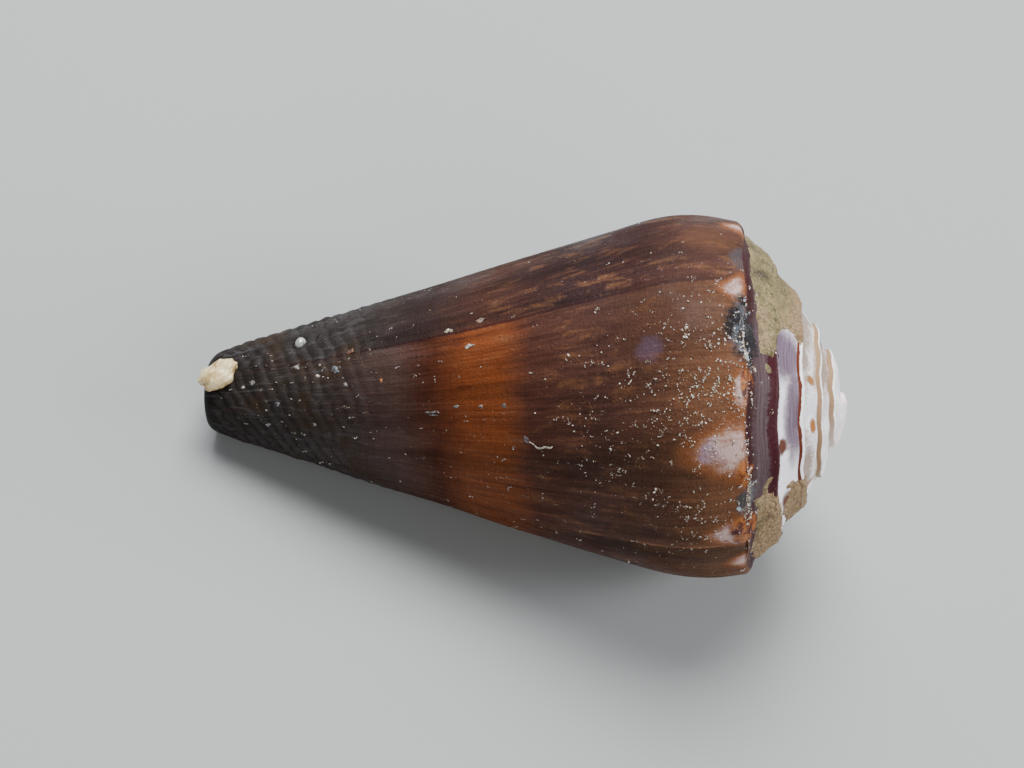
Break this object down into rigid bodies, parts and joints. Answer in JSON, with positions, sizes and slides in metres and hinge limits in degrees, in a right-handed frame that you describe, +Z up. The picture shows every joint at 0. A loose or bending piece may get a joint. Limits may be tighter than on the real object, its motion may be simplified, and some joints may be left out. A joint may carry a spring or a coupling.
{
  "type": "cone shell",
  "caption": "Brown cone-shaped sea snail shell with a low stepped spire, a long narrow aperture and a cream growth on its narrow end.",
  "frame": {"origin": "centre of the bounding box at the surface that the shell lies on", "axes": "+X from the narrow tip towards the spire, +Z up, with the aperture underneath"},
  "size_m": [0.042, 0.024, 0.0227],
  "materials": {
    "shell": "wet, satin to glossy, with fine spiral threads",
    "tip_growth": "smooth, damp, chalky"
  },
  "bodies": {
    "root": {"shell": "shell", "tip_growth": "tip_growth"}
  },
  "joints": []
}
